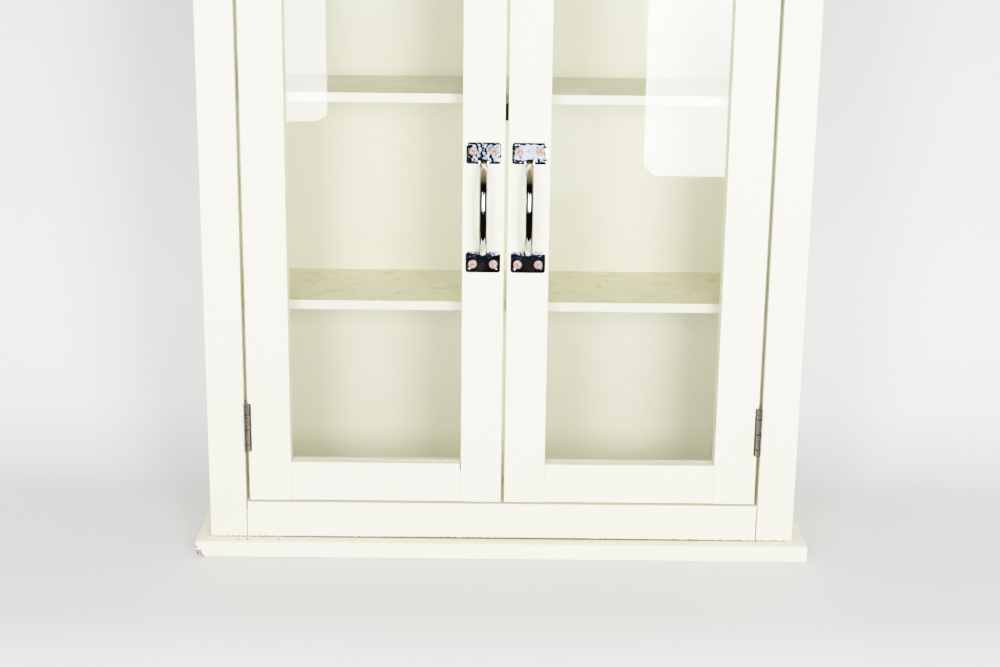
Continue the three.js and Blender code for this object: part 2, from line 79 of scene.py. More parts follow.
CREAM = (0.864, 0.852, 0.694)
CREAM_WARM = (0.848, 0.832, 0.650)
CREAM_SOILED = (0.60, 0.545, 0.37)
# painted tint of warm bounced light on the top faces
CREAM_BOUNCE_TINT = (0.84, 0.80, 0.50)
# painted highlight colour for faces that look to the front
CREAM_LIT_FRONT = (0.93, 0.92, 0.83)
# painted shade colour for the sides that face the gaps
GAP_SHADE = (0.46, 0.40, 0.22)
OLD_DIRT = (0.30, 0.23, 0.13)
BARE_BOARD = (0.53, 0.38, 0.27)
HARDBOARD = (0.25, 0.145, 0.075)
GLASS_MIRROR = 0.04  # share of the light that one face of the glass mirrors, seen square on


# ---------------------------------------------------------------- shader building
class Surface:
    """A material and the shader nodes in it, added one by one."""

    def __init__(self, name):
        self.material = bpy.data.materials.new(name)
        self.material.use_nodes = True
        self.tree = self.material.node_tree
        self.shader = self.tree.nodes["Principled BSDF"]
        coordinates = self.tree.nodes.new("ShaderNodeTexCoord")
        self.place = coordinates.outputs["Object"]
        self.facing = coordinates.outputs["Normal"]

    def feed(self, socket, value):
        if isinstance(value, bpy.types.NodeSocket):
            self.tree.links.new(value, socket)
        elif hasattr(value, "__len__") and len(value) == 3 and len(socket.default_value) == 4:
            socket.default_value = (*value, 1.0)
        else:
            socket.default_value = value

    def add(self, kind, inputs, output=0, **settings):
        node = self.tree.nodes.new("ShaderNode" + kind)
        for name, value in settings.items():
            setattr(node, name, value)
        for key, value in inputs.items():
            self.feed(node.inputs[key], value)
        return node.outputs[output]

    def calc(self, operation, a, b=0.0):
        return self.add("Math", {0: a, 1: b}, operation=operation)

    def stretched(self, scale):
        return self.add("Mapping", {"Vector": self.place, "Scale": scale})

    def noise(self, scale, detail=2.0, stretch=(1.0, 1.0, 1.0), rough=0.5):
        inputs = {"Vector": self.stretched(stretch), "Scale": scale, "Detail": detail, "Roughness": rough}
        return self.add("TexNoise", inputs)

    def band(self, value, low, high, to_low=0.0, to_high=1.0):
        """Value taken from low..high to to_low..to_high, and held there beyond both ends."""
        return self.add("MapRange", {0: value, 1: low, 2: high, 3: to_low, 4: to_high}, clamp=True)

    def blend(self, factor, a, b):
        return self.add("Mix", {"Factor": factor, 6: a, 7: b}, output=2, data_type="RGBA")

    def bump(self, height, depth, under=None):
        inputs = {"Height": height, "Distance": depth, "Strength": 1.0}
        if under is not None:
            inputs["Normal"] = under
        return self.add("Bump", inputs)

    def edges(self):
        """1 on eased edges, where the surface faces along no axis, and 0 on flat faces."""
        parts = self.add("VectorMath", {0: self.facing}, operation="ABSOLUTE")
        widest = self.calc("MAXIMUM", self.component(parts, "x"), self.component(parts, "y"))
        widest = self.calc("MAXIMUM", widest, self.component(parts, "z"))
        return self.band(widest, 0.97, 0.82)

    def component(self, vector, axis):
        return self.add("SeparateXYZ", {0: vector}, output="xyz".index(axis))

    def towards(self, axis):
        """1 on faces that look along the axis (a letter), 0 on those that look elsewhere or against it."""
        return self.band(self.component(self.facing, axis), 0.8, 0.95)

    def away_from(self, axis):
        """1 on faces that look against the axis, 0 on those that look elsewhere or along it."""
        return self.band(self.component(self.facing, axis), -0.8, -0.95)

    def position(self, axis):
        return self.component(self.place, axis)

    def spot(self, centre, size):
        """1 inside a ragged ellipsoid at a point, fading to 0 at its rim."""
        off = self.add("VectorMath", {0: self.place, 1: centre}, operation="SUBTRACT")
        scaled = self.add("VectorMath", {0: off, 1: size}, operation="DIVIDE")
        far = self.add("VectorMath", {0: scaled}, output="Value", operation="LENGTH")
        ragged = self.calc("ADD", far, self.band(self.noise(900.0, 2.0), 0.3, 0.7, -0.35, 0.35))
        return self.band(ragged, 1.0, 0.75)

    def dress(self, **inputs):
        names = {"colour": "Base Color", "rough": "Roughness", "metal": "Metallic", "normal": "Normal",
                 "specular": "Specular IOR Level", "coat": "Coat Weight", "coat_rough": "Coat Roughness"}
        for key, value in inputs.items():
            self.feed(self.shader.inputs[names[key]], value)
        return self.material


# ---------------------------------------------------------------- materials
GRAIN = {"x": (1.0, 22.0, 22.0), "z": (22.0, 22.0, 1.0)}  # marks run along the named axis


def cream_paint(name, along="z", soil=0.0, bounce_tint=0.0, marks=(), pale=1.0, lit_front=False,
                shaded_gap_sides=False, bare_back=False):
    """Satin cream paint. Marks are (centre, size, colour). Soil is dirt on the top faces, which also take a
    painted yellow tint for bounced light. Other options paint light and shade: a lighter copy of the paint, a
    painted highlight on the front faces and painted shade on the sides that face the gaps.
    """
    s = Surface(name)
    cloud = s.band(s.noise(7.0, 3.0), 0.35, 0.68)
    # A pale factor above 1 makes a lighter copy of the paint, which paints in extra light.
    colour = s.blend(cloud, tuple(pale * c for c in CREAM), tuple(pale * c for c in CREAM_WARM))
    flecks = s.band(s.noise(330.0, 2.0), 0.68, 0.74, 0.0, 0.45)
    colour = s.blend(flecks, colour, CREAM_SOILED)
    handled = s.band(s.noise(23.0, 4.0, rough=0.65), 0.56, 0.80, 0.0, 0.13)
    colour = s.blend(handled, colour, CREAM_SOILED)
    rubbed = s.calc("MULTIPLY", s.edges(), s.band(s.noise(55.0, 4.0, rough=0.7), 0.47, 0.70, 0.06, 0.42))
    colour = s.blend(rubbed, colour, CREAM_SOILED)
    knocked = s.calc("MULTIPLY", s.edges(), s.band(s.noise(140.0, 3.0), 0.72, 0.745, 0.0, 0.9))
    colour = s.blend(knocked, colour, BARE_BOARD)
    if soil:
        tops = s.towards("z")
        # Painted light: top faces take a yellow tint for the warm light bounced onto them. The smudges and
        # specks below are dirt.
        colour = s.blend(s.calc("MULTIPLY", tops, bounce_tint), colour, CREAM_BOUNCE_TINT)
        smudge = s.band(s.noise(38.0, 6.0, rough=0.75), 0.52, 0.70, 0.0, soil)
        colour = s.blend(s.calc("MULTIPLY", smudge, tops), colour, CREAM_SOILED)
        specks = s.band(s.noise(170.0, 4.0, stretch=(0.5, 1.0, 1.0), rough=0.7), 0.63, 0.70, 0.0, soil)
        colour = s.blend(s.calc("MULTIPLY", specks, tops), colour, OLD_DIRT)
    if lit_front:
        # Painted highlight: faces that look to the front are painted lighter, as if more light fell on them.
        colour = s.blend(s.calc("MULTIPLY", s.away_from("y"), 0.8), colour, CREAM_LIT_FRONT)
    if shaded_gap_sides:
        # Painted shade in the gaps: sides that face along x are darkened, more towards the bottom, where less
        # light gets in.
        sides = s.calc("ADD", s.towards("x"), s.away_from("x"))
        gap_shade = s.band(s.position("z"), 0.60, 0.08, 0.04, 0.40)
        colour = s.blend(s.calc("MULTIPLY", sides, gap_shade), colour, GAP_SHADE)
    for centre, size, stain in marks:
        colour = s.blend(s.spot(centre, size), colour, stain)
    rough = s.band(s.noise(60.0, 3.0), 0.3, 0.7, 0.36, 0.52)
    spray = s.bump(s.noise(900.0, 2.0), 0.00003)
    brushed = s.bump(s.noise(26.0, 3.0, stretch=GRAIN[along]), 0.00012, spray)
    dents = s.bump(s.band(s.noise(48.0, 1.0), 0.66, 0.80), 0.00025, brushed)
    if bare_back:
        rear = s.towards("y")
        weave = s.noise(700.0, 3.0, stretch=(1.0, 1.0, 0.4))
        fibre = s.blend(s.band(weave, 0.3, 0.7), HARDBOARD, tuple(1.5 * c for c in HARDBOARD))
        stains = s.band(s.noise(6.0, 5.0, rough=0.7), 0.5, 0.75, 0.0, 0.5)
        fibre = s.blend(stains, fibre, tuple(0.6 * c for c in HARDBOARD))
        colour = s.blend(rear, colour, fibre)
        rough = s.calc("MAXIMUM", rough, s.calc("MULTIPLY", rear, 0.8))
        dents = s.bump(s.calc("MULTIPLY", weave, rear), 0.0002, dents)
    return s.dress(colour=colour, rough=rough, normal=dents, specular=0.35)


def bare_fibreboard():
    """The pinkish brown core of a painted board, where a corner has broken off."""
    s = Surface("bare_fibreboard")
    crumbs = s.noise(1100.0, 4.0, rough=0.7)
    colour = s.blend(s.band(crumbs, 0.35, 0.65), BARE_BOARD, (0.76, 0.64, 0.54))
    dirt = s.band(s.noise(480.0, 3.0), 0.54, 0.62, 0.0, 0.9)
    colour = s.blend(dirt, colour, (0.14, 0.08, 0.055))
    return s.dress(colour=colour, rough=0.9, normal=s.bump(crumbs, 0.0006), specular=0.2)


def window_glass():
    """Clear glass with faint wiping smears. It lets light straight through and mirrors at its faces."""
    s = Surface("window_glass")
    s.tree.nodes.remove(s.shader)
    smear = s.noise(14.0, 5.0, stretch=(1.0, 1.0, 2.2), rough=0.75)
    through = s.add("BsdfTransparent", {"Color": (0.986, 0.989, 0.977)})
    haze = s.add("BsdfDiffuse", {"Color": (0.80, 0.81, 0.74)})
    body = s.add("MixShader", {0: s.band(smear, 0.50, 0.85, 0.004, 0.030), 1: through, 2: haze})
    wave = s.bump(s.noise(9.0, 1.0), 0.00003)
    gloss = s.add("BsdfGlossy", {"Roughness": s.band(smear, 0.45, 0.8, 0.0, 0.10), "Normal": wave})
    slant = s.add("LayerWeight", {}, output="Facing")
    mirror = s.band(s.calc("POWER", slant, 5.0), 0.0, 1.0, GLASS_MIRROR, 1.0)
    mixed = s.add("MixShader", {0: mirror, 1: body, 2: gloss})
    s.feed(s.tree.nodes["Material Output"].inputs["Surface"], mixed)
    return s.material


def chrome():
    """Bright plating over a stamping that was never quite flat, with patches of fine haze."""
    s = Surface("chrome")
    ripple = s.noise(250.0, 0.8, rough=0.4)
    waves = s.bump(ripple, 0.00015)
    pits = s.bump(s.band(s.noise(1900.0, 1.0), 0.70, 0.78), 0.00002, waves)
    haze = s.band(s.noise(240.0, 4.0, rough=0.7), 0.42, 0.75, 0.004, 0.022)
    colour = s.blend(s.band(ripple, 0.4, 0.7), (0.80, 0.82, 0.86), (0.70, 0.71, 0.75))
    return s.dress(colour=colour, rough=haze, metal=1.0, normal=pits)


def grip_chrome():
    """The handle's round bar: the same plating, smoother than on the plates."""
    s = Surface("grip_chrome")
    wear = s.noise(160.0, 4.0, rough=0.7)
    colour = s.blend(s.band(wear, 0.45, 0.7), (0.84, 0.83, 0.82), (0.74, 0.72, 0.70))
    rough = s.band(wear, 0.4, 0.8, 0.01, 0.05)
    return s.dress(colour=colour, rough=rough, metal=1.0, normal=s.bump(s.noise(210.0, 2.0), 0.00004))


def nickel(name, pale, dark, rough=0.36, metal=0.9, grime_heights=()):
    """Mottled nickel plating, speckled where it has rubbed bright and grimy at the heights given."""
    s = Surface(name)
    blotch = s.noise(560.0, 4.0, rough=0.7)
    colour = s.blend(s.band(blotch, 0.40, 0.60), dark, pale)
    bright = s.band(s.noise(950.0, 2.0), 0.62, 0.72, 0.0, 0.8)
    colour = s.blend(bright, colour, tuple(min(0.92, 1.35 * c) for c in pale))
    for z in grime_heights:
        off = s.calc("ABSOLUTE", s.calc("SUBTRACT", s.position("z"), z))
        colour = s.blend(s.band(off, 0.0009, 0.0004, 0.0, 0.85), colour, (0.035, 0.028, 0.018))
    gloss = s.band(blotch, 0.3, 0.7, rough + 0.14, rough - 0.10)
    return s.dress(colour=colour, rough=gloss, metal=metal, normal=s.bump(blotch, 0.00009))


def zinc_steel():
    s = Surface("zinc_steel")
    spangle = s.add("TexVoronoi", {"Vector": s.place, "Scale": 420.0}, output="Color")
    tone = s.band(spangle, 0.0, 1.0)
    colour = s.blend(tone, (0.50, 0.50, 0.49), (0.66, 0.65, 0.62))
    rust = s.band(s.noise(260.0, 4.0, rough=0.7), 0.64, 0.72, 0.0, 0.7)
    colour = s.blend(rust, colour, (0.24, 0.13, 0.07))
    rough = s.band(s.noise(180.0, 3.0), 0.3, 0.7, 0.28, 0.48)
    return s.dress(colour=colour, rough=rough, metal=0.85, normal=s.bump(s.noise(800.0, 2.0), 0.00004))


def catch_plastic():
    s = Surface("catch_plastic")
    grain = s.noise(1600.0, 2.0)
    scuff = s.band(s.noise(90.0, 5.0, stretch=(1.0, 4.0, 4.0)), 0.6, 0.75, 0.0, 0.5)
    colour = s.blend(scuff, (0.040, 0.026, 0.016), (0.13, 0.10, 0.075))
    rough = s.band(grain, 0.3, 0.7, 0.42, 0.60)
    return s.dress(colour=colour, rough=rough, normal=s.bump(grain, 0.00006))


def magnet_steel():
    s = Surface("magnet_steel")
    cast = s.noise(700.0, 3.0, rough=0.7)
    colour = s.blend(s.band(cast, 0.35, 0.65), (0.10, 0.10, 0.105), (0.24, 0.235, 0.22))
    rough = s.band(cast, 0.3, 0.7, 0.35, 0.6)
    return s.dress(colour=colour, rough=rough, metal=0.7, normal=s.bump(cast, 0.00008))


def sealant():
    """Dried filler along the foot of the glass."""
    s = Surface("sealant")
    lumps = s.noise(260.0, 3.0, rough=0.6)
    colour = s.blend(s.band(lumps, 0.35, 0.62), (0.83, 0.80, 0.60), (0.60, 0.52, 0.38))
    return s.dress(colour=colour, rough=0.6, normal=s.bump(s.noise(900.0, 3.0), 0.0002), specular=0.25)


def studio_paper():
    """Pale paper with painted light: lighter up its curve and in front. It can be looked through from behind.
    """
    s = Surface("studio_paper")
    cloud = s.band(s.noise(1.6, 2.0), 0.3, 0.7)
    colour = s.blend(cloud, (0.735, 0.722, 0.722), (0.722, 0.709, 0.711))
    # Painted light: the paper is lighter where it curves up into the wall.
    painted_wall_light = s.calc("MULTIPLY", s.band(s.position("z"), 0.0, 0.06), s.band(s.position("z"), 0.55, 0.20))
    colour = s.blend(painted_wall_light, colour, (0.850, 0.836, 0.838))
    # Painted light: a lighter band on the floor in front of the cabinet.
    colour = s.blend(s.band(s.position("y"), -0.23, -0.36), colour, (0.900, 0.888, 0.892))
    scuffs = s.band(s.noise(17.0, 6.0, stretch=(0.5, 1.0, 1.0), rough=0.75), 0.66, 0.80, 0.0, 0.16)
    colour = s.blend(scuffs, colour, (0.56, 0.53, 0.47))
    s.dress(colour=colour, rough=0.8, normal=s.bump(s.noise(420.0, 3.0), 0.0001), specular=0.2)
    behind = s.add("NewGeometry", {}, output="Backfacing")
    clear = s.add("BsdfTransparent", {})
    one_sided = s.add("MixShader", {0: behind, 1: s.shader.outputs[0], 2: clear})
    s.feed(s.tree.nodes["Material Output"].inputs["Surface"], one_sided)
    return s.material


# ---------------------------------------------------------------- mesh building
def new_piece(name, bm, material, body=None):
    """Turns a bmesh into a smooth-shaded piece that rides on a body."""
    bmesh.ops.recalc_face_normals(bm, faces=bm.faces)
    mesh = bpy.data.meshes.new(name)
    bm.to_mesh(mesh)
    bm.free()
    mesh.materials.append(material)
    mesh.shade_smooth()
    piece = bpy.data.objects.new(name, mesh)
    bpy.context.scene.collection.objects.link(piece)
    if body:
        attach(piece, body)
    return piece


def skin(bm, rings):
    """Joins rings of points, each a closed loop, into a tube with closed ends."""
    loops = [[bm.verts.new(point) for point in ring] for ring in rings]
    for near, far in zip(loops, loops[1:]):
        for i in range(len(near)):
            j = (i + 1) % len(near)
            bm.faces.new((near[i], near[j], far[j], far[i]))
    bm.faces.new(loops[0])
    bm.faces.new(loops[-1])


def round_edges(piece, width, segments=2, angle=50.0):
    bevel = piece.modifiers.new("eased_edges", "BEVEL")
    bevel.width = width
    bevel.segments = segments
    bevel.limit_method = "ANGLE"
    bevel.angle_limit = math.radians(angle)


def flatten_faces(piece):
    """Shades flat faces flat, however smooth their edges are."""
    piece.modifiers.new("flat_faces", "WEIGHTED_NORMAL").keep_sharp = True


def ease_edges(piece, width, segments=2, angle=50.0):
    """Rounds the sharp edges and keeps the flat faces flat in shading."""
    round_edges(piece, width, segments, angle)
    flatten_faces(piece)


def carve(piece, cutters):
    """Cuts the cutters out of the piece for good."""
    for cutter in cutters:
        cut = piece.modifiers.new("cut", "BOOLEAN")
        cut.operation = "DIFFERENCE"
        cut.solver = "EXACT"
        cut.material_mode = "TRANSFER"
        cut.object = cutter
    graph = bpy.context.evaluated_depsgraph_get()
    made = bpy.data.meshes.new_from_object(piece.evaluated_get(graph))
    piece.modifiers.clear()
    piece.data = made
    for cutter in cutters:
        bpy.data.objects.remove(cutter)


def rounded_outline(width, height, corner, steps=8):
    """A rectangle with round corners, about the origin, as (x, z) points."""
    points = []
    for quarter, (sx, sz) in enumerate(((1, 1), (-1, 1), (-1, -1), (1, -1))):
        for i in range(steps + 1):
            turn = math.radians(90 * (quarter + i / steps))
            x = sx * (width / 2 - corner) + corner * math.cos(turn)
            z = sz * (height / 2 - corner) + corner * math.sin(turn)
            points.append((x, z))
    return points


def lathe(bm, profile, sides=40):
    """Turns (radius, height) points about -Y, so that height rises towards the front."""
    turns = [2 * math.pi * i / sides for i in range(sides)]
    rings = [[(r * math.cos(a), -up, r * math.sin(a)) for a in turns] for r, up in profile]
    skin(bm, rings)


# ---------------------------------------------------------------- screws
def recess_wedge(head, dome, turn):
    """A cutter for one arm of a cross recess, narrower at the bottom."""
    bm = bmesh.new()
    bmesh.ops.create_cube(bm, size=1.0)
    for v in bm.verts:
        narrow = 0.55 if v.co.y > 0 else 1.0
        v.co = Vector((v.co.x * head * 1.05 * narrow, v.co.y * dome * 2.2, v.co.z * head * 0.22 * narrow))
    bmesh.ops.rotate(bm, verts=bm.verts, matrix=Matrix.Rotation(math.radians(turn), 3, "Y"))
    bmesh.ops.translate(bm, verts=bm.verts, vec=(0, -dome * 1.35, 0))
    # The recess faces take this cutter's dark material, which paints shade into the cross.
    return new_piece("recess_cutter", bm, RECESS_SHADE)


def screw_mesh(name, size, material):
    """A raised countersunk screw with its rim at the origin, facing -Y."""
    head, dome, shank = size["head"], size["dome"], size["shank"]
    arc = [math.radians(a) for a in (4, 18, 34, 50, 66, 80, 90)]
    profile = [(head * math.sin(a), dome * math.cos(a)) for a in arc]
    cone = head - shank
    profile += [(head * 0.985, -cone * 0.12), (shank, -cone), (shank, 2 * shank - size["length"])]
    profile += [(shank * 0.2, -size["length"])]
    bm = bmesh.new()
    lathe(bm, profile)
    made = new_piece(name, bm, material)
    carve(made, [recess_wedge(head, dome, turn) for turn in (0, 90)])
    mesh = made.data
    bpy.data.objects.remove(made)
    return mesh


def place_screw(name, mesh, centre, facing, spin, body, stands_for=None):
    """Sets one copy of a screw at a point. Facing is the direction its head looks."""
    piece = bpy.data.objects.new(name, mesh)
    bpy.context.scene.collection.objects.link(piece)
    turned = Vector(facing).to_track_quat("-Y", "Z").to_matrix()
    spun = turned @ Matrix.Rotation(math.radians(spin), 3, "Y")
    piece.matrix_world = Matrix.Translation(centre) @ spun.to_4x4()
    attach(piece, body)
    if stands_for:
        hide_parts(stands_for)
    ease_edges(piece, 0.00008, segments=1, angle=40.0)
    return piece


# ---------------------------------------------------------------- handles
def signed_power(value, power):
    return math.copysign(abs(value) ** power, value)


def bow_point(t):
    """The middle of the bar, from its lower root at t = 0 to its upper root at t = 1."""
    half = HANDLE_HEIGHT / 2 - PLATE_HEIGHT
    out = signed_power(math.sin(math.pi * t), 2 / BOW_POWER)
    up = signed_power(math.cos(math.pi * t), 2 / BOW_POWER)
    return Vector((0, FRONT_Y - PLATE / 4 - BAR_REACH * out, HANDLE_Z - half * up))


def bow_rings(x, steps=110, sides=36):
    """Rings of the bowed bar, slim in the grip and flared where it meets the plates."""
    rings = []
    across = Vector((1, 0, 0))
    for i in range(steps + 1):
        t = i / steps
        ahead = (bow_point(min(t + 0.002, 1)) - bow_point(max(t - 0.002, 0))).normalized()
        outward = ahead.cross(across)
        middle = math.sin(math.pi * t)
        above_plate = max(0.0, FRONT_Y - PLATE - bow_point(t).y)
        flare = BAR_FLARE * math.exp(-above_plate / 0.0016)
        radius = BAR_ROOT + (BAR_GRIP - BAR_ROOT) * math.sqrt(max(0.0, middle)) + flare
        centre = bow_point(t) + across * x
        turns = [2 * math.pi * k / sides for k in range(sides)]
        rings.append([centre + radius * (math.cos(a) * across + math.sin(a) * outward) for a in turns])
    return rings


def plate_rings(x, z):
    """Rings of one stamped plate, from its back to its gently crowned face."""
    easing = 0.0007
    crown = 0.00012
    layers = [(0.0, 0.00002), (0.0, PLATE - easing)]
    layers += [(easing * (1 - math.cos(math.radians(a))), PLATE - easing + easing * math.sin(math.radians(a)))
               for a in (20, 40, 60, 80)]
    layers += [(0.0025, PLATE + crown * 0.5), (0.006, PLATE + crown)]
    rings = []
    for inset, up in layers:
        corner = max(0.0006, PLATE_CORNER - inset)
        outline = rounded_outline(PLATE_WIDTH - 2 * inset, PLATE_HEIGHT - 2 * inset, corner)
        rings.append([(x + px, FRONT_Y - up, z + pz) for px, pz in outline])
    return rings


def countersink(centre):
    """A cutter for a screw's seat in a plate."""
    bm = bmesh.new()
    head = HANDLE_SCREW["head"] + 0.00015
    shank = HANDLE_SCREW["shank"] + 0.00015
    lathe(bm, [(head, 0.004), (head, PLATE), (shank, PLATE - (head - shank)), (shank, -0.004)])
    bmesh.ops.translate(bm, verts=bm.verts, vec=(centre[0], FRONT_Y, centre[1]))
    return new_piece("countersink_cutter", bm, CHROME)


def handle_screw_places(x):
    """(name, x, z) of a handle's four screws. Inner is the side nearer the other door."""
    places = []
    for level, up in (("lower", -1), ("upper", 1)):
        for end, away in (("inner", -1), ("outer", 1)):
            across = math.copysign(1, x) * away * SCREW_SPREAD / 2
            places.append((f"{level}_{end}", x + across, HANDLE_Z + up * SCREW_SPAN / 2))
    return places


def handle(side, x, screw):
    """One door handle: two stamped plates with the bowed bar between them, and its four screws."""
    body = f"{side}_door"
    bm = bmesh.new()
    for up in (-1, 1):
        skin(bm, plate_rings(x, HANDLE_Z + up * (HANDLE_HEIGHT - PLATE_HEIGHT) / 2))
    plates = new_piece(f"{side}_handle_plates", bm, CHROME, body)
    carve(plates, [countersink((sx, sz)) for _, sx, sz in handle_screw_places(x)])
    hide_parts(f"{side}_handle")
    ease_edges(plates, 0.0001, segments=1, angle=30.0)
    bm = bmesh.new()
    skin(bm, bow_rings(x))
    new_piece(f"{side}_handle_bow", bm, GRIP_CHROME, body)
    for i, (place, sx, sz) in enumerate(handle_screw_places(x)):
        name = f"{side}_handle_screw_{place}"
        centre = (sx, FRONT_Y - PLATE, sz)
        spin = 31 * i + (57 if side == "left" else 12)
        place_screw(f"{name}_fine", screw, centre, (0, -1, 0), spin, body, name)


# ---------------------------------------------------------------- hinges and catch
def hinge_screws(side, level, screw):
    """Three screws in each leaf, with their heads between the leaves."""
    sign = 1 if side == "right" else -1
    for leaf, body in (("door", f"{side}_door"), ("frame", "cabinet")):
        node = f"{side}_{level}_hinge_{leaf}_leaf"
        low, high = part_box(node)
        inner, outer = (low.x, high.x) if side == "right" else (high.x, low.x)
        face_x = inner + sign * LEAF if leaf == "door" else outer - sign * LEAF
        facing = (sign if leaf == "door" else -sign, 0, 0)
        for i, (up, back) in enumerate(zip(LEAF_SCREW_HEIGHTS, LEAF_SCREW_DEPTHS)):
            centre = (face_x, FRONT_Y + back, low.z + up)
            name = f"{node}_screw_{i + 1}"
            place_screw(name, screw, centre, facing, 40 * i + 15, body)


def catch_screws(screw):
    for side in ("left", "right"):
        node = f"catch_{side}_screw"
        low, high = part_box(node)
        centre = ((low.x + high.x) / 2, (low.y + high.y) / 2, low.z + CATCH_SCREW["dome"])
        spin = 25 if side == "left" else 70
        place_screw(f"{node}_fine", screw, centre, (0, 0, -1), spin, "cabinet", node)


# ---------------------------------------------------------------- wear
def ragged_lump(bm, centre, reach):
    lump = bmesh.ops.create_icosphere(bm, subdivisions=4, radius=1.0)
    for v in lump["verts"]:
        ragged = 1 + 0.34 * noise.noise(v.co * 1.9) + 0.20 * noise.noise(v.co * 5.0)
        v.co = Vector([a * b * ragged for a, b in zip(v.co, reach)]) + centre


def break_corner(board):
    """Cuts the broken front left corner and a small nick above it out of the base board."""
    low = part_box("base_board")[0]
    bm = bmesh.new()
    ragged_lump(bm, low, (0.0086, 0.0066, 0.0082))
    ragged_lump(bm, low + Vector((0.0, 0.0004, 0.0112)), (0.0020, 0.0030, 0.0016))
    lump = new_piece("broken_corner_cutter", bm, FIBREBOARD)
    lump.hide_render = True
    lump.hide_viewport = True
    cut = board.modifiers.new("broken_corner", "BOOLEAN")
    cut.operation = "DIFFERENCE"
    cut.solver = "EXACT"
    cut.material_mode = "TRANSFER"
    cut.object = lump


def sealant_bead():
    """An uneven smear of filler in the corner between the left glass and its bottom rail."""
    glass_low, glass_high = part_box("left_door_glass")
    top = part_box("left_door_bottom_rail")[1].z
    inner_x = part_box("left_door_meeting_stile")[0].x
    start = (glass_low.x + glass_high.x) / 2
    steps = 150
    rings = []
    for i in range(steps + 1):
        t = i / steps
        x = start + (inner_x - 0.0004 - start) * t
        lump = noise.noise(Vector((x * 130.0, 0.0, 3.0))) + 0.6 * noise.noise(Vector((x * 420.0, 5.0, 0.0)))
        ends = min(1.0, 9 * t + 0.05)
        tall = max(0.0002, (0.0008 + 0.0010 * lump) * ends)
        deep = max(0.0002, (0.0019 + 0.0021 * lump) * ends)
        ring = []
        for k in range(7):
            turn = math.radians(90 * k / 6)
            ring.append((x, glass_low.y - deep * math.sin(turn), top + tall * math.cos(turn)))
        ring.append((x, glass_low.y - 0.00001, top - 0.0002))
        rings.append(ring)
    bm = bmesh.new()
    skin(bm, rings)
    new_piece("left_door_sealant", bm, sealant(), "left_door")


# ---------------------------------------------------------------- dressing the CAD nodes
def refinish(name, material):
    """Gives a CAD node its material, with its corners joined so that edges can be eased."""
    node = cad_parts[name]
    node.data.materials.clear()
    node.data.materials.append(material)
    node.data.shade_smooth()
    node.modifiers.new("joined_corners", "WELD").merge_threshold = JOINED
    return node


def dress_board(name, material):
    node = refinish(name, material)
    round_edges(node, BOARD_EASING)
    if name == "base_board":
        break_corner(node)
    flatten_faces(node)


def dress_small(name, material):
    """For glass, metal and plastic, whose edges are finer than a board's."""
    ease_edges(refinish(name, material), FINE_EASING, segments=2, angle=35.0)


def foot_line():
    """A dark brown line along the foot of the face frame, where it stands on the base board."""
    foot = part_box("base_board")[1].z
    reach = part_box("frame_right_stile")[1].x
    return [((0.0, FRONT_Y, foot + 0.0003), (1.2 * reach, 0.003, 0.0018), (0.12, 0.088, 0.055))]


def frame_joints():
    """Old filler showing where the frame's bottom rail meets its two stiles."""
    low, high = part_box("frame_bottom_rail")
    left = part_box("frame_left_stile")[1].x
    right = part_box("frame_right_stile")[0].x
    middle = (low.z + high.z) / 2
    half = (high.z - low.z) / 2
    return [
        ((right, FRONT_Y, middle), (0.0012, 0.004, 1.4 * half), (0.22, 0.145, 0.10)),
        ((left, FRONT_Y, middle), (0.0008, 0.004, 1.4 * half), (0.24, 0.19, 0.11)),
        ((left, FRONT_Y, high.z), (0.0010, 0.004, 0.8 * half), (0.08, 0.07, 0.03)),
    ]


def end_grime(rail):
    """Grey dirt in the grooves at both ends of a door's rail."""
    low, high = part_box(rail)
    middle = (low.z + high.z) / 2
    half = (high.z - low.z) / 2
    return [((x, FRONT_Y, middle), (0.0008, 0.004, 1.3 * half), (0.26, 0.24, 0.17)) for x in (low.x, high.x)]


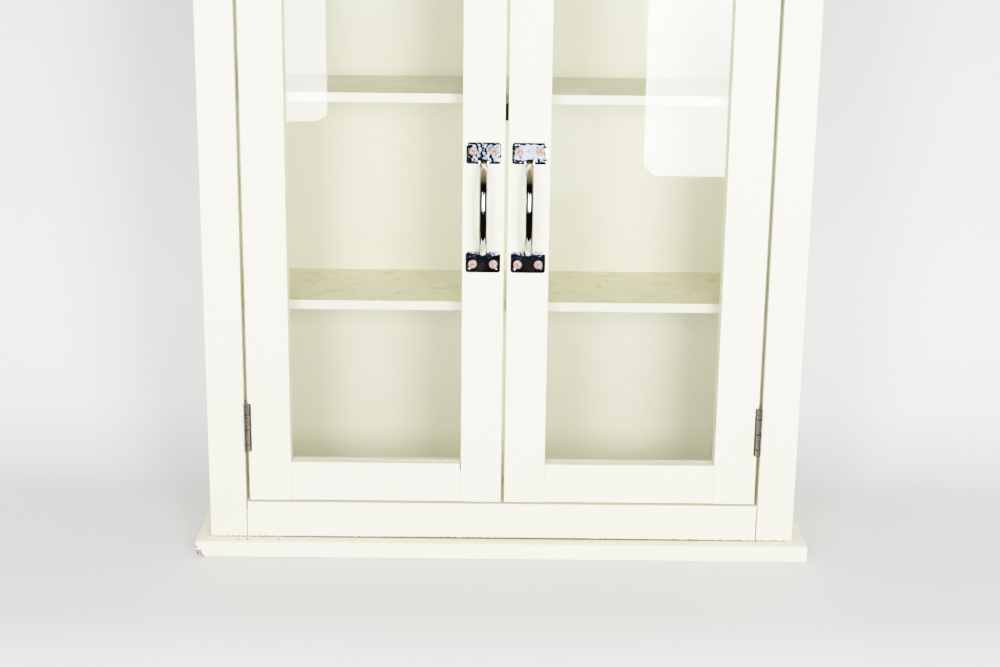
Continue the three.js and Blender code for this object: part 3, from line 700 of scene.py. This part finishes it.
def dress_frame():
    """Gives every CAD node that stays visible its own finish."""
    floor_marks = [
        ((-0.2617, -0.0895, 0.017), (0.0014, 0.0020, 0.004), (0.07, 0.055, 0.03)),
        ((-0.2712, -0.0905, 0.017), (0.0032, 0.0012, 0.004), (0.26, 0.20, 0.11)),
        ((-0.2295, -0.0885, 0.017), (0.0014, 0.0016, 0.004), (0.20, 0.16, 0.09)),
        ((0.1840, -0.0920, 0.017), (0.0022, 0.0010, 0.004), (0.34, 0.27, 0.16)),
    ]
    crack = [((-0.0434, FRONT_Y, 0.0966), (0.0006, 0.004, 0.0052), (0.045, 0.035, 0.02))]
    upright = cream_paint("cream_paint_upright", "z")
    level = cream_paint("cream_paint_level", "x")
    foot = foot_line()
    door_stile = cream_paint("cream_paint_door_stile", "z", shaded_gap_sides=True)
    paints = {
        "base_board": cream_paint("cream_paint_base", "x", soil=0.45, bounce_tint=0.25, marks=floor_marks),
        "lower_shelf": cream_paint("cream_paint_lower_shelf", "x", soil=0.9, bounce_tint=0.5, lit_front=True),
        "upper_shelf": cream_paint("cream_paint_upper_shelf", "x", soil=0.8, bounce_tint=0.1, lit_front=True),
        # The back panel's paint is a lighter copy, painted light for the inside of the cabinet.
        "back_panel": cream_paint("cream_paint_back", "z", pale=1.04, bare_back=True),
        "frame_bottom_rail": cream_paint("cream_paint_frame_rail", "x", marks=foot + frame_joints()),
        "frame_left_stile": cream_paint("cream_paint_left_stile", "z", marks=foot, shaded_gap_sides=True),
        "frame_right_stile": cream_paint("cream_paint_right_stile", "z", marks=foot, shaded_gap_sides=True),
        "top_board": level,
    }
    for side in ("left", "right"):
        for level_name in ("bottom", "top"):
            rail = f"{side}_door_{level_name}_rail"
            marks = end_grime(rail) + (crack if rail == "left_door_bottom_rail" else [])
            paints[rail] = cream_paint(f"cream_paint_{rail}", "x", marks=marks)
        for post in ("hinge", "meeting"):
            paints[f"{side}_door_{post}_stile"] = door_stile
    zinc, plastic, magnet, glass = zinc_steel(), catch_plastic(), magnet_steel(), window_glass()
    for name in sorted(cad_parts):
        if name in paints:
            dress_board(name, paints[name])
        elif name.endswith("_glass"):
            dress_small(name, glass)
        elif "_strike_plate" in name:
            dress_small(name, zinc)
        elif name.endswith("_magnet"):
            dress_small(name, magnet)
        elif name == "catch_housing":
            dress_small(name, plastic)
        elif "_leaf" in name or name.endswith("_pin"):
            dress_small(name, HINGE_NICKEL)
        elif name.endswith(("_rail", "_top_bead", "_bottom_bead")):
            dress_board(name, level)
        elif name.endswith(("_stile", "_panel", "_bead")):
            dress_board(name, upright)


# ---------------------------------------------------------------- studio
def stand(inner, outer, low, high):
    """Where an upright rectangle stands between two plan points, facing the wall."""
    (x0, y0), (x1, y1) = inner, outer
    centre = Vector(((x0 + x1) / 2, (y0 + y1) / 2, (low + high) / 2))
    along = Vector((x1 - x0, y1 - y0, 0)).normalized()
    ahead = Vector((-along.y, along.x, 0))
    if ahead.y < 0:
        ahead = -ahead
    back = -ahead
    across = Vector((0, 0, 1)).cross(back).normalized()
    matrix = Matrix((across, back.cross(across), back)).transposed().to_4x4()
    matrix.translation = centre
    return matrix, math.hypot(x1 - x0, y1 - y0), high - low


def soft_light(name, matrix, width, height, radiance):
    """A softbox that lights the scene but is seen in no mirror, where glow cards stand in for it."""
    light = bpy.data.lights.new(name, "AREA")
    light.shape = "RECTANGLE"
    light.size = width
    light.size_y = height
    light.energy = radiance * math.pi * width * height
    lamp = bpy.data.objects.new(name, light)
    bpy.context.scene.collection.objects.link(lamp)
    lamp.matrix_world = matrix
    lamp.visible_camera = False
    lamp.visible_glossy = False
    return lamp


def glow_material(name, low_colour, high_colour, low, high):
    """Light that rises from one colour to another between two heights, with the folds of its cloth."""
    s = Surface(name)
    s.tree.nodes.remove(s.shader)
    colour = s.blend(s.band(s.position("z"), low, high), low_colour, high_colour)
    folds = s.band(s.noise(5.0), 0.3, 0.7, 0.85, 1.12)
    glow = s.add("Emission", {"Color": colour, "Strength": folds})
    s.feed(s.tree.nodes["Material Output"].inputs["Surface"], glow)
    return s.material


def card(name, corners, low_colour, high_colour):
    """A flat card that only mirrors see: part of the room that chrome and glass reflect."""
    mesh = bpy.data.meshes.new(name)
    mesh.from_pydata([Vector(c) for c in corners], [], [tuple(range(len(corners)))])
    heights = [c[2] for c in corners]
    mesh.materials.append(glow_material(name, low_colour, high_colour, min(heights), max(heights) + 1e-6))
    made = bpy.data.objects.new(name, mesh)
    bpy.context.scene.collection.objects.link(made)
    made.visible_camera = False
    made.visible_diffuse = False
    made.visible_shadow = False
    made.visible_transmission = False


def upright_card(name, inner, outer, low, high, low_colour, high_colour):
    (x0, y0), (x1, y1) = inner, outer
    corners = [(x0, y0, low), (x1, y1, low), (x1, y1, high), (x0, y0, high)]
    card(name, corners, low_colour, high_colour)


def grey(level):
    return (level, level, level)


def paper_sweep():
    """Pale paper: a flat floor that curves up into the wall behind."""
    bend_y = FRONT_Y + 0.18
    bend = 0.2
    profile = [(-1.2, 0.0), (bend_y, 0.0)]
    for i in range(1, 17):
        turn = math.radians(90 * i / 16)
        profile.append((bend_y + bend * math.sin(turn), bend - bend * math.cos(turn)))
    profile.append((bend_y + bend, 2.2))
    points = [(x, y, z) for y, z in profile for x in (-2.5, 2.5)]
    faces = [(2 * i, 2 * i + 1, 2 * i + 3, 2 * i + 2) for i in range(len(profile) - 1)]
    mesh = bpy.data.meshes.new("paper_sweep")
    mesh.from_pydata(points, [], faces)
    mesh.materials.append(studio_paper())
    mesh.shade_smooth()
    sweep = bpy.data.objects.new("paper_sweep", mesh)
    bpy.context.scene.collection.objects.link(sweep)


def reflections():
    """The room as the chrome and the glass see it: two white cloths, a low pale edge and the dark between."""
    cloth = grey(1.3)
    right = [(0.330, 0.048), (0.940, 0.040), (0.940, 0.78), (0.309, 0.78), (0.309, 0.068)]
    card("glow_right", [(x, -2.013, z) for x, z in right], grey(5.0), grey(9.0))
    upright_card("glow_right_wing", (0.940, -2.013), (1.15, -1.757), 0.05, 0.90, cloth, cloth)
    left = [(-0.363, 0.175), (-0.800, 0.165), (-0.800, 0.66), (-0.345, 0.66), (-0.345, 0.188)]
    card("glow_left", [(x, -1.883, z) for x, z in left], grey(4.6), grey(4.8))
    upright_card("glow_left_wing", (-0.800, -1.883), (-1.05, -1.639), 0.05, 0.90, cloth, cloth)
    pale = (0.46, 0.51, 0.63)
    upright_card("glow_low", (-0.030, -1.95), (0.190, -1.95), 0.02, 0.24, pale, pale)
    night = (0.0005, 0.0014, 0.0042)
    brown_night = (0.0016, 0.0011, 0.0006)
    upright_card("dark_room", (-4.0, -2.6), (4.0, -2.6), -0.1, 2.3, night, brown_night)
    floors = [(-4.0, -2.6, 4.0, -1.45, night), (-4.0, -1.45, 4.0, -0.35, brown_night),
              (-4.0, -0.35, -0.335, 0.2, brown_night), (0.335, -0.35, 4.0, 0.2, brown_night)]
    for i, (x0, y0, x1, y1, tone) in enumerate(floors):
        corners = [(x0, y0, 0.003), (x1, y0, 0.003), (x1, y1, 0.003), (x0, y1, 0.003)]
        card(f"dark_floor_{i + 1}", corners, tone, tone)
    ceiling = [(-4, -2.6, 2.3), (4, -2.6, 2.3), (4, 0.3, 2.9), (-4, 0.3, 2.9)]
    card("dim_ceiling", ceiling, (0.012, 0.009, 0.004), (0.190, 0.150, 0.075))


def studio():
    paper_sweep()
    soft_light("soft_right", *stand((0.315, -2.013), (0.955, -2.013), 0.30, 1.08), 8.2)
    soft_light("soft_left", *stand((-0.345, -1.883), (-0.800, -1.883), 0.30, 1.02), 7.0)
    soft_light("wall_wash", *stand((-0.28, 0.115), (0.28, 0.115), 0.03, 0.40), 0.26)
    reflections()
    world = bpy.data.worlds.new("soft_fill")
    world.use_nodes = True
    world.node_tree.nodes["Background"].inputs["Color"].default_value = (1.0, 1.0, 1.0, 1.0)
    world.node_tree.nodes["Background"].inputs["Strength"].default_value = 0.3
    world.cycles_visibility.glossy = False
    bpy.context.scene.world = world


def camera():
    """A normal lens, a little above the cabinet's top shelf and tilted down."""
    pitch, yaw, roll = (math.radians(a) for a in (15.44, 0.432, 0.7))
    ahead = Vector((math.sin(yaw) * math.cos(pitch), math.cos(yaw) * math.cos(pitch), -math.sin(pitch)))
    level = Vector((math.cos(yaw), -math.sin(yaw), 0))
    upright = level.cross(ahead)
    across = math.cos(roll) * level + math.sin(roll) * upright
    up = math.cos(roll) * upright - math.sin(roll) * level
    lens = bpy.data.cameras.new("camera")
    lens.lens = 62.75
    lens.sensor_width = 36
    lens.sensor_fit = "HORIZONTAL"
    lens.clip_start = 0.05
    lens.clip_end = 50
    body = bpy.data.objects.new("camera", lens)
    bpy.context.scene.collection.objects.link(body)
    matrix = Matrix((across, up, -ahead)).transposed().to_4x4()
    matrix.translation = Vector((-0.0171, -1.763, 0.7014))
    body.matrix_world = matrix
    bpy.context.scene.camera = body


def film_curve():
    """Brightness on the print as a share of white: 1 - exp(-speed * scene brightness)."""
    view = bpy.context.scene.view_settings
    view.view_transform = "Standard"
    view.look = "None"
    view.use_curve_mapping = True
    mapping = view.curve_mapping
    mapping.extend = "HORIZONTAL"
    mapping.white_level = (FILM_WHITE, FILM_WHITE, FILM_WHITE)
    curve = mapping.curves[3]
    steps = 14
    for i in range(1, steps):
        x = (i / steps) ** 2
        curve.points.new(x, 1 - math.exp(-FILM_SPEED * FILM_WHITE * x))
    curve.points[len(curve.points) - 1].location = (1.0, 1 - math.exp(-FILM_SPEED * FILM_WHITE))
    mapping.update()


# ---------------------------------------------------------------- assembly
CHROME = chrome()
GRIP_CHROME = grip_chrome()
FIBREBOARD = bare_fibreboard()
HINGE_FEET = [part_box(f"left_{level}_hinge_frame_leaf")[0].z for level in ("lower", "upper")]
GRIMY_HEIGHTS = [foot + up for foot in HINGE_FEET for up in KNUCKLE_JOINTS]
HINGE_NICKEL = nickel("hinge_nickel", (0.45, 0.39, 0.335), (0.13, 0.102, 0.078), rough=0.27,
                      grime_heights=GRIMY_HEIGHTS)
PALE_NICKEL = nickel("pale_nickel", (0.64, 0.47, 0.42), (0.30, 0.175, 0.14), rough=0.40, metal=0.25)
# Painted shade: the dark material of the cross recesses in the screw heads.
RECESS_SHADE = nickel("recess_shade", (0.11, 0.085, 0.065), (0.035, 0.026, 0.018), rough=0.5, metal=0.3)

handle_screw = screw_mesh("handle_screw", HANDLE_SCREW, PALE_NICKEL)
leaf_screw = screw_mesh("leaf_screw", LEAF_SCREW, PALE_NICKEL)
catch_screw = screw_mesh("catch_screw", CATCH_SCREW, PALE_NICKEL)

dress_frame()
for side, sign in (("left", -1), ("right", 1)):
    handle(side, sign * HANDLE_X, handle_screw)
    for level in ("lower", "upper"):
        hinge_screws(side, level, leaf_screw)
catch_screws(catch_screw)
sealant_bead()

studio()
camera()
film_curve()
